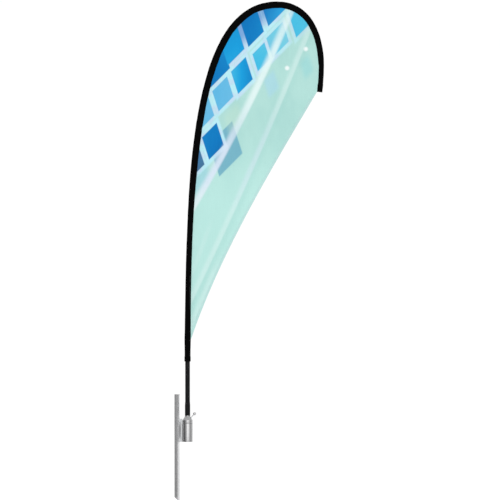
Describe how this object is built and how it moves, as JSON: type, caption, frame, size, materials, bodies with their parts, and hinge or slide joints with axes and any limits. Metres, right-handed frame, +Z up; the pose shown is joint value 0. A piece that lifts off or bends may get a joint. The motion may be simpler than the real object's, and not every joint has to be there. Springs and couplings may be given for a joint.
{
  "type": "teardrop flag",
  "caption": "Teardrop flag: cloth held by a bent pole in a black sleeve, turning in a bearing housing on an angle-steel ground spike.",
  "frame": {"origin": "the pole's axis at the underside of the bearing housing, which is ground level when the spike is driven in", "axes": "+Z up along the pole; +X the side the flag flies to; the cloth lies in the XZ plane and is seen face-on from -Y"},
  "size_m": [0.793, 0.054, 2.6509],
  "materials": {
    "galvanised_steel": "dull zinc",
    "web_steel": "satin",
    "housing_steel": "brushed",
    "bearing_steel": "ground",
    "pad_brass": "turned",
    "seal_rubber": "matt",
    "pole_alloy": "dark anodised",
    "pole_composite": "satin",
    "black_plastic": "satin",
    "sleeve_cloth": "woven, matt",
    "flag_cloth": "printed knitted polyester",
    "hem_cloth": "folded and stitched"
  },
  "bodies": {
    "ground_base": {"spike_angle": "galvanised_steel", "web_plate": "web_steel", "housing_tube": "housing_steel", "base_cap": "housing_steel", "bore_circlip": "bearing_steel", "housing_cover": "housing_steel", "shaft_seal": "seal_rubber", "lower_bearing_outer_ring": "bearing_steel", "upper_bearing_outer_ring": "bearing_steel"},
    "rotor": {"spindle": "bearing_steel", "seat_ring": "housing_steel", "shaft_circlip": "bearing_steel", "lower_bearing_inner_ring": "bearing_steel", "upper_bearing_inner_ring": "bearing_steel", "lower_bearing_balls": "bearing_steel", "upper_bearing_balls": "bearing_steel"},
    "flag_pole": {"pole_base_tube": "pole_alloy", "pole_collar": "black_plastic", "base_ferrule": "black_plastic", "pole_mid_tube": "pole_composite", "mid_ferrule": "black_plastic", "pole_upper_tube": "pole_composite", "upper_ferrule": "black_plastic", "pole_tip_rod": "pole_composite", "tip_cap": "black_plastic", "flag_sleeve": "sleeve_cloth", "sleeve_cuff": "sleeve_cloth", "sleeve_end_pocket": "sleeve_cloth", "flag_panel": "flag_cloth", "edge_hem": "hem_cloth"},
    "clamp_screw": {"clamp_screw": "bearing_steel", "ball_knob": "housing_steel", "clamp_pad": "pad_brass"}
  },
  "joints": [
    {"name": "flag_swivel", "type": "hinge", "parent": "ground_base", "child": "rotor", "pos_m": [0, 0, 0], "axis": [0, 0, 1], "continuous": true},
    {"name": "pole_lift_off", "type": "slide", "parent": "rotor", "child": "flag_pole", "axis": [0, 0, 1], "range_m": [0, 0.1]},
    {"name": "clamp_feed", "type": "slide", "parent": "ground_base", "child": "clamp_screw", "axis": [0.7071, 0, 0.7071], "range_m": [0, 0.003]}
  ]
}
